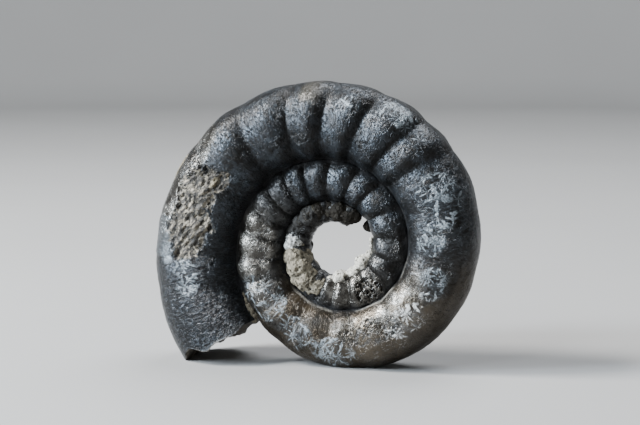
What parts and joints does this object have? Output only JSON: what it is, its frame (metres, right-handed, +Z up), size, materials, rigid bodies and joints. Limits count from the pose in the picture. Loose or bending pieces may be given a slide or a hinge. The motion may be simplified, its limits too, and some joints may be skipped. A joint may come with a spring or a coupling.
{
  "type": "pyritized ammonite",
  "caption": "Coiled ribbed fossil shell, worn and broken off at its wide end, open through the middle, that stands upright on two small flat spots of its outer whorl.",
  "frame": {"origin": "middle of the footprint of the standing shell, on the surface that it rests on", "axes": "+Z up; the coil lies in the XZ plane and winds about the Y axis; -Y is the front flank; the broken end is at -X"},
  "size_m": [0.0668, 0.019, 0.0568],
  "materials": {
    "pyrite": "satin, metallic, steel blue"
  },
  "bodies": {
    "root": {"ammonite": "pyrite"}
  },
  "joints": []
}
